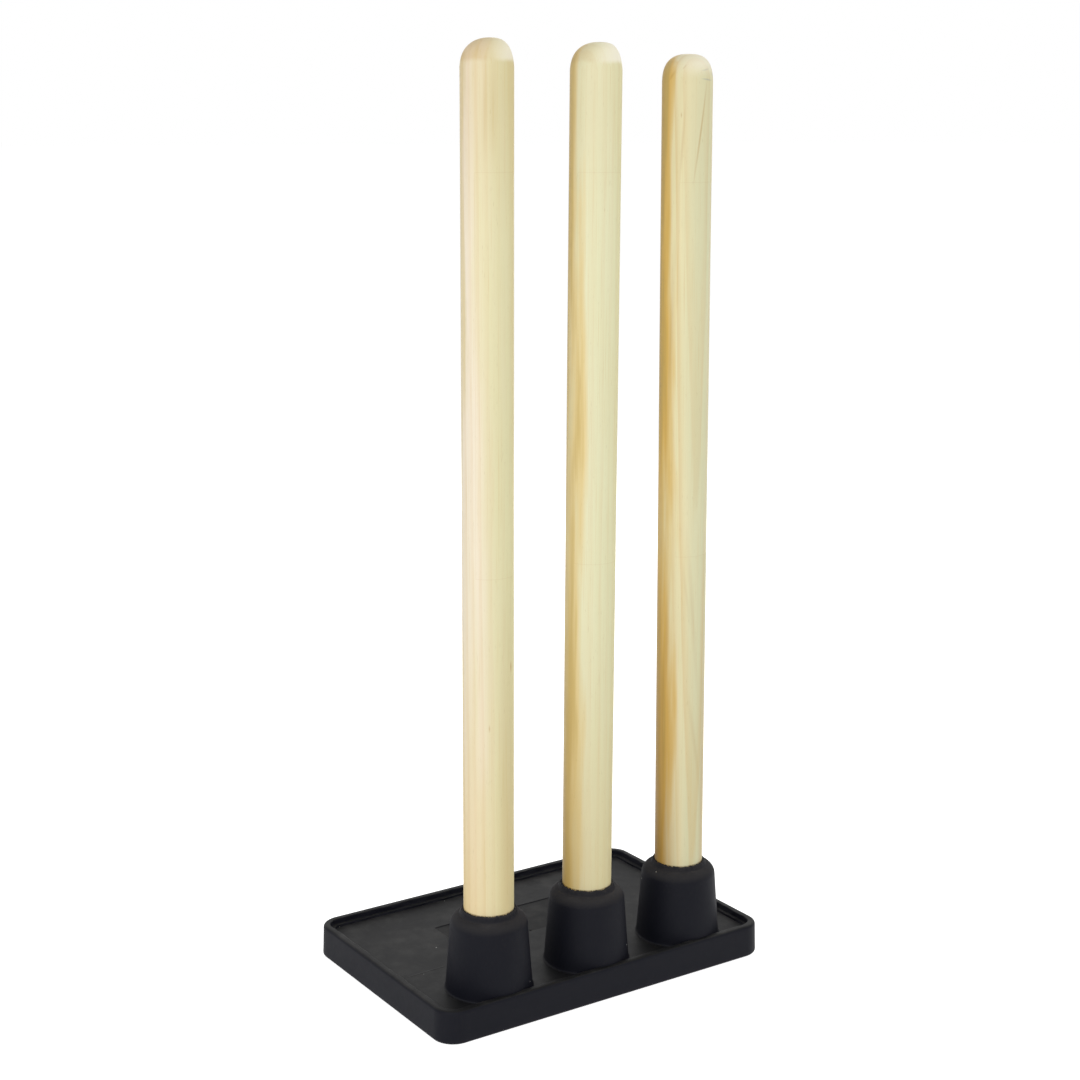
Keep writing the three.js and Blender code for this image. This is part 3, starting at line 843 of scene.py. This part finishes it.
def makeStumpTree():
    # A turned stump: a straight line given the section's radius at each height, then swept with a circle
    tree, given = newTree("turned_stump", {
        "Length": "Float", "Foot Radius": "Float", "Crown Radius": "Float", "Crown Height": "Float",
        "Crown Fullness": "Float", "Crown Break": "Float", "Foot Chamfer": "Float", "Apex Shift": "Vector",
        "Body Steps": "Int", "Crown Steps": "Int", "Turn Steps": "Int", "Material": "Material"})
    allSteps = addNode(tree, "ShaderNodeMath", "ADD", {0: given["Body Steps"], 1: given["Crown Steps"]})
    count = addNode(tree, "ShaderNodeMath", "ADD", {0: allSteps, 1: 1})
    line = addNode(tree, "GeometryNodeCurvePrimitiveLine", links={"End": (0, 0, 1)})
    points = addNode(tree, "GeometryNodeResampleCurve", links={"Curve": line, "Count": count})

    # Height: steps up the body, closer towards the chamfer of the foot, then even angles over the crown
    step = addNode(tree, "GeometryNodeInputIndex")
    bodyTop = addNode(tree, "ShaderNodeMath", "SUBTRACT", {0: given["Length"], 1: given["Crown Height"]})
    bodyShare = addNode(tree, "ShaderNodeMath", {"operation": "DIVIDE", "use_clamp": True}, {
        0: step, 1: given["Body Steps"]})
    bodyEase = addNode(tree, "ShaderNodeMath", "POWER", {0: bodyShare, 1: stump["footCrowding"]})
    bodyHeight = addNode(tree, "ShaderNodeMath", "MULTIPLY", {0: bodyEase, 1: bodyTop})
    pastBody = addNode(tree, "ShaderNodeMath", "SUBTRACT", {0: step, 1: given["Body Steps"]})
    crownShare = addNode(tree, "ShaderNodeMath", {"operation": "DIVIDE", "use_clamp": True}, {
        0: pastBody, 1: given["Crown Steps"]})
    angle = addNode(tree, "ShaderNodeMath", "MULTIPLY", {0: crownShare, 1: math.pi / 2})
    power = addNode(tree, "ShaderNodeMath", "DIVIDE", {0: 2, 1: given["Crown Fullness"]})
    sine = addNode(tree, "ShaderNodeMath", "SINE", {0: angle})
    cosine = addNode(tree, "ShaderNodeMath", "COSINE", {0: angle})
    cosineHeld = addNode(tree, "ShaderNodeMath", "MAXIMUM", {0: cosine, 1: 0})
    upShare = addNode(tree, "ShaderNodeMath", "POWER", {0: sine, 1: power})
    outShare = addNode(tree, "ShaderNodeMath", "POWER", {0: cosineHeld, 1: power})
    crownRise = addNode(tree, "ShaderNodeMath", "MULTIPLY", {0: upShare, 1: given["Crown Height"]})
    height = addNode(tree, "ShaderNodeMath", "ADD", {0: bodyHeight, 1: crownRise})
    spot = addNode(tree, "ShaderNodeCombineXYZ", links={"Z": height})
    raised = addNode(tree, "GeometryNodeSetPosition", links={"Geometry": points, "Position": spot})

    # Radius: a slight taper up the body, less the chamfer at the foot, times the crown's share
    taper = addNode(tree, "ShaderNodeMapRange", links={
        "Value": bodyEase, "To Min": given["Foot Radius"], "To Max": given["Crown Radius"]})
    fromFoot = addNode(tree, "ShaderNodeMath", "SUBTRACT", {0: given["Foot Chamfer"], 1: bodyHeight})
    cutBack = addNode(tree, "ShaderNodeMath", "MAXIMUM", {0: fromFoot, 1: 0})
    bodyRadius = addNode(tree, "ShaderNodeMath", "SUBTRACT", {0: taper, 1: cutBack})
    # The crown starts with a slight break, where the shaft was turned down to it
    broken = addNode(tree, "ShaderNodeMath", "MULTIPLY", {0: upShare, 1: given["Crown Break"]})
    held = addNode(tree, "ShaderNodeMath", "SUBTRACT", {0: 1, 1: broken})
    crownOut = addNode(tree, "ShaderNodeMath", "MULTIPLY", {0: outShare, 1: held})
    radius = addNode(tree, "ShaderNodeMath", "MULTIPLY", {0: bodyRadius, 1: crownOut})
    circle = addNode(tree, "GeometryNodeCurvePrimitiveCircle", links={
        "Resolution": given["Turn Steps"], "Radius": 1})
    turned = addNode(tree, "GeometryNodeCurveToMesh", links={
        "Curve": raised, "Profile Curve": circle, "Scale": radius, "Fill Caps": True})
    closed = addNode(tree, "GeometryNodeMergeByDistance", links={
        "Geometry": turned, "Distance": stump["poleWeld"] * mm})

    # The crown was sanded by hand, so its top lies a little off the axis
    place = addNode(tree, "GeometryNodeInputPosition")
    reached = addNode(tree, "ShaderNodeSeparateXYZ", links={"Vector": place}).outputs["Z"]
    overBody = addNode(tree, "ShaderNodeMapRange", links={
        "Value": reached, "From Min": bodyTop, "From Max": given["Length"]})
    nearTop = addNode(tree, "ShaderNodeMath", "POWER", {0: overBody, 1: stump["apexPower"]})
    shift = addNode(tree, "ShaderNodeVectorMath", "SCALE", {0: given["Apex Shift"], "Scale": nearTop})
    leaning = addNode(tree, "GeometryNodeSetPosition", links={"Geometry": closed, "Offset": shift})
    real = addNode(tree, "GeometryNodeRealizeInstances", links={"Geometry": leaning})
    dressed = addNode(tree, "GeometryNodeSetMaterial", links={
        "Geometry": real, "Material": given["Material"]})
    addNode(tree, "NodeGroupOutput", links={"Geometry": dressed})
    return tree


def makeStump(node, tree):
    look = stumpLook[node]
    foot, along, length = stumpAxis(node)
    made = newObject(node.replace("_stump", "_turned_stump"), bpy.data.meshes.new(node))
    runTree(made, tree, {
        "Length": length, "Foot Radius": stump["footRadius"] * mm, "Crown Radius": stump["crownRadius"] * mm,
        "Crown Height": stump["crownHeight"] * mm, "Crown Fullness": look["crownFullness"],
        "Crown Break": look["crownBreak"], "Foot Chamfer": stump["footChamfer"] * mm,
        "Apex Shift": list(bearing(90) * look["apexShift"] * mm), "Body Steps": stump["bodySteps"],
        "Crown Steps": stump["crownSteps"], "Turn Steps": stump["turnSteps"],
        "Material": makeTimber(node, look, foot, along, length)})
    made.data.transform(standing(foot, along))
    shadeByAngle(made.data, stump["sharpDegrees"])
    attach(made, node.removesuffix("_stump"))
    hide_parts(node)
    return made


stumpTree = makeStumpTree()
for node in stumpNodes:
    made = makeStump(node, stumpTree)
    print(made.name, "made:", len(made.data.polygons), "faces")


# Studio: white surroundings, a plain pale floor, three soft lamps round the front, one behind and one
# overhead. The left stump stands in the way of the lamp at the left for the other two. Bearings are from the
# camera, with the right positive.

studio = {
    "diffuseWorld": 0.3, "floorHalf": 60000, "floorDrop": 0.1, "floorColour": "#f2f2f2", "floorLift": 0.74,
    "white": (1, 1, 1, 1), "aimHeight": 420,
    "mirrored": ("front_lamp",),       # the narrow lamps would leave hot rims on the satin rubber
    "lamps": {
        "left_lamp": {"degrees": -48, "distance": 1500, "height": 480, "size": (780, 900), "watts": 4.9},
        "front_lamp": {"degrees": -10, "distance": 2200, "height": 1300, "size": (2400, 1300), "watts": 27.5},
        "right_lamp": {"degrees": 95, "distance": 1900, "height": 1500, "size": (1300, 1200), "watts": 15.5},
        "back_lamp": {"degrees": 172, "distance": 2200, "height": 1300, "size": (1800, 1300), "watts": 18},
        "top_lamp": {"degrees": 60, "distance": 800, "height": 2400, "size": (900, 900), "watts": 5},
    },
}


def seenDirectly(tree):
    # 1 for rays from the camera, in a reflection or through glass
    path = addNode(tree, "ShaderNodeLightPath").outputs
    mirror = addNode(tree, "ShaderNodeMath", "MAXIMUM", {
        0: path["Is Glossy Ray"], 1: path["Is Transmission Ray"]})
    return addNode(tree, "ShaderNodeMath", "MAXIMUM", {0: path["Is Camera Ray"], 1: mirror})


def makeWorld():
    world = bpy.data.worlds.new("studio")
    world.use_nodes = True
    tree = world.node_tree
    tree.nodes.clear()
    strength = addNode(tree, "ShaderNodeMapRange", links={
        "Value": seenDirectly(tree), "To Min": studio["diffuseWorld"], "To Max": 1})
    light = addNode(tree, "ShaderNodeBackground", links={"Color": studio["white"], "Strength": strength})
    addNode(tree, "ShaderNodeOutputWorld", links={"Surface": light})
    bpy.context.scene.world = world


def makeFloor():
    half = studio["floorHalf"] * mm
    low = -studio["floorDrop"] * mm
    corners = [(-half, -half, low), (half, -half, low), (half, half, low), (-half, half, low)]
    floor = newObject("floor", meshFrom("floor", corners, [(0, 1, 2, 3)]))
    material, tree = newMaterial("pale_studio_floor")
    paper = addNode(tree, "ShaderNodeBsdfDiffuse", links={"Color": linear(studio["floorColour"])})
    lift = addNode(tree, "ShaderNodeMath", "MULTIPLY", {0: seenDirectly(tree), 1: studio["floorLift"]})
    glow = addNode(tree, "ShaderNodeEmission", links={"Color": studio["white"], "Strength": lift})
    both = addNode(tree, "ShaderNodeAddShader", links={0: paper, 1: glow})
    addNode(tree, "ShaderNodeOutputMaterial", links={"Surface": both})
    floor.data.materials.append(material)


def makeLamp(name, lamp):
    data = bpy.data.lights.new(name, "AREA")
    data.shape = "RECTANGLE"
    data.size, data.size_y = (side * mm for side in lamp["size"])
    data.energy = lamp["watts"]
    made = newObject(name, data)
    made.visible_camera = False
    made.visible_glossy = name in studio["mirrored"]
    place = (bearing(lamp["degrees"]) * lamp["distance"] + Vector((0, 0, lamp["height"]))) * mm
    aim = Vector((0, 0, studio["aimHeight"] * mm)) - place
    made.matrix_world = Matrix.Translation(place) @ aim.to_track_quat("-Z", "Y").to_matrix().to_4x4()


makeWorld()
makeFloor()
for name, lamp in studio["lamps"].items():
    makeLamp(name, lamp)
bpy.context.scene.view_settings.view_transform = "Standard"
print("studio made")
